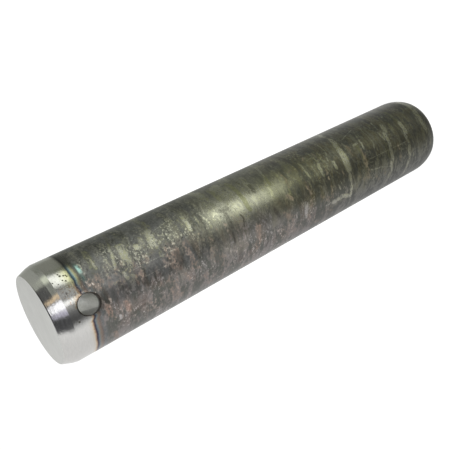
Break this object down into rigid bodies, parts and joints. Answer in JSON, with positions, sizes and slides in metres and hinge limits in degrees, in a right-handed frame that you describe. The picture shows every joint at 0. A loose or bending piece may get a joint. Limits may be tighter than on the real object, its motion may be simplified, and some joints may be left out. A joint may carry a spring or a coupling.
{
  "type": "pivot pin",
  "caption": "Round steel pivot pin for a machine's boom or bucket joint, turned all over, with a tapered lead at each end and a countersunk cross hole near one end for a keeper pin.",
  "frame": {"origin": "centre of the plain end's flat face, on which the pin stands", "axes": "+Z along the pin's axis, from the plain end to the cross-drilled end; Y along the cross hole, with -Y out of the mouth that faces the camera in the picture"},
  "size_m": [0.05, 0.05, 0.275],
  "materials": {
    "pin_steel": "dark mottled heat-treatment scale on the shank with patches of rust brown and grey-green; bright turned steel at the drilled end up to the middle of its cross hole, with a straw, brown, blue and purple heat tint where the two meet"
  },
  "bodies": {
    "root": {"pivot_pin": "pin_steel"}
  },
  "joints": []
}
